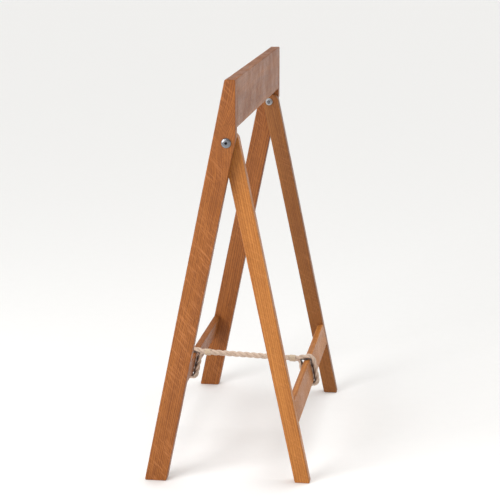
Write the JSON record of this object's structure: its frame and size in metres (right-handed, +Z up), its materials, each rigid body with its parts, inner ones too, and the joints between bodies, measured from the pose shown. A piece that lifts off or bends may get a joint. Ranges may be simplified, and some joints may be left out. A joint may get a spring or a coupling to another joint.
{
  "type": "folding sawhorse",
  "caption": "Folding oak sawhorse: leaning outer legs carry a top rail, slimmer inner legs swing on pivot bolts, and a tie rope between low stretchers limits the spread.",
  "frame": {"origin": "on the floor, in the middle of the footprint", "axes": "+X across the feet from the outer frame towards the inner frame, +Y along the top rail, +Z up"},
  "size_m": [0.2896, 0.6074, 0.71],
  "materials": {
    "oak": "oiled oak, satin",
    "beech": "plain beech dowel",
    "steel": "polished steel",
    "rope": "three-strand laid rope, matt",
    "twine": "waxed twine, matt"
  },
  "bodies": {
    "outer_frame": {"top_rail": "oak", "outer_stretcher": "oak", "rope_eye_outer": "rope", "rope_span": "rope", "whipping_outer": "twine", "whipping_inner": "twine", "outer_leg_front": "oak", "pivot_bolt_front": "steel", "pivot_spacer_front": "steel", "nut_washer_front": "steel", "pivot_nut_front": "steel", "rail_dowel_front_lower": "beech", "outer_stretcher_dowel_front_lower": "beech", "rail_dowel_front_upper": "beech", "outer_stretcher_dowel_front_upper": "beech", "outer_leg_rear": "oak", "pivot_bolt_rear": "steel", "pivot_spacer_rear": "steel", "nut_washer_rear": "steel", "pivot_nut_rear": "steel", "rail_dowel_rear_lower": "beech", "outer_stretcher_dowel_rear_lower": "beech", "rail_dowel_rear_upper": "beech", "outer_stretcher_dowel_rear_upper": "beech"},
    "inner_frame": {"inner_stretcher": "oak", "rope_eye_inner": "rope", "inner_leg_front": "oak", "inner_stretcher_dowel_front_lower": "beech", "inner_stretcher_dowel_front_upper": "beech", "inner_leg_rear": "oak", "inner_stretcher_dowel_rear_lower": "beech", "inner_stretcher_dowel_rear_upper": "beech"}
  },
  "joints": [
    {"name": "fold", "type": "hinge", "parent": "outer_frame", "child": "inner_frame", "pos_m": [0.0022, 0, 0.6036], "axis": [0, 1, 0], "range_deg": [0, 22.25], "deforming": ["rope_span", "whipping_outer", "whipping_inner"]}
  ]
}
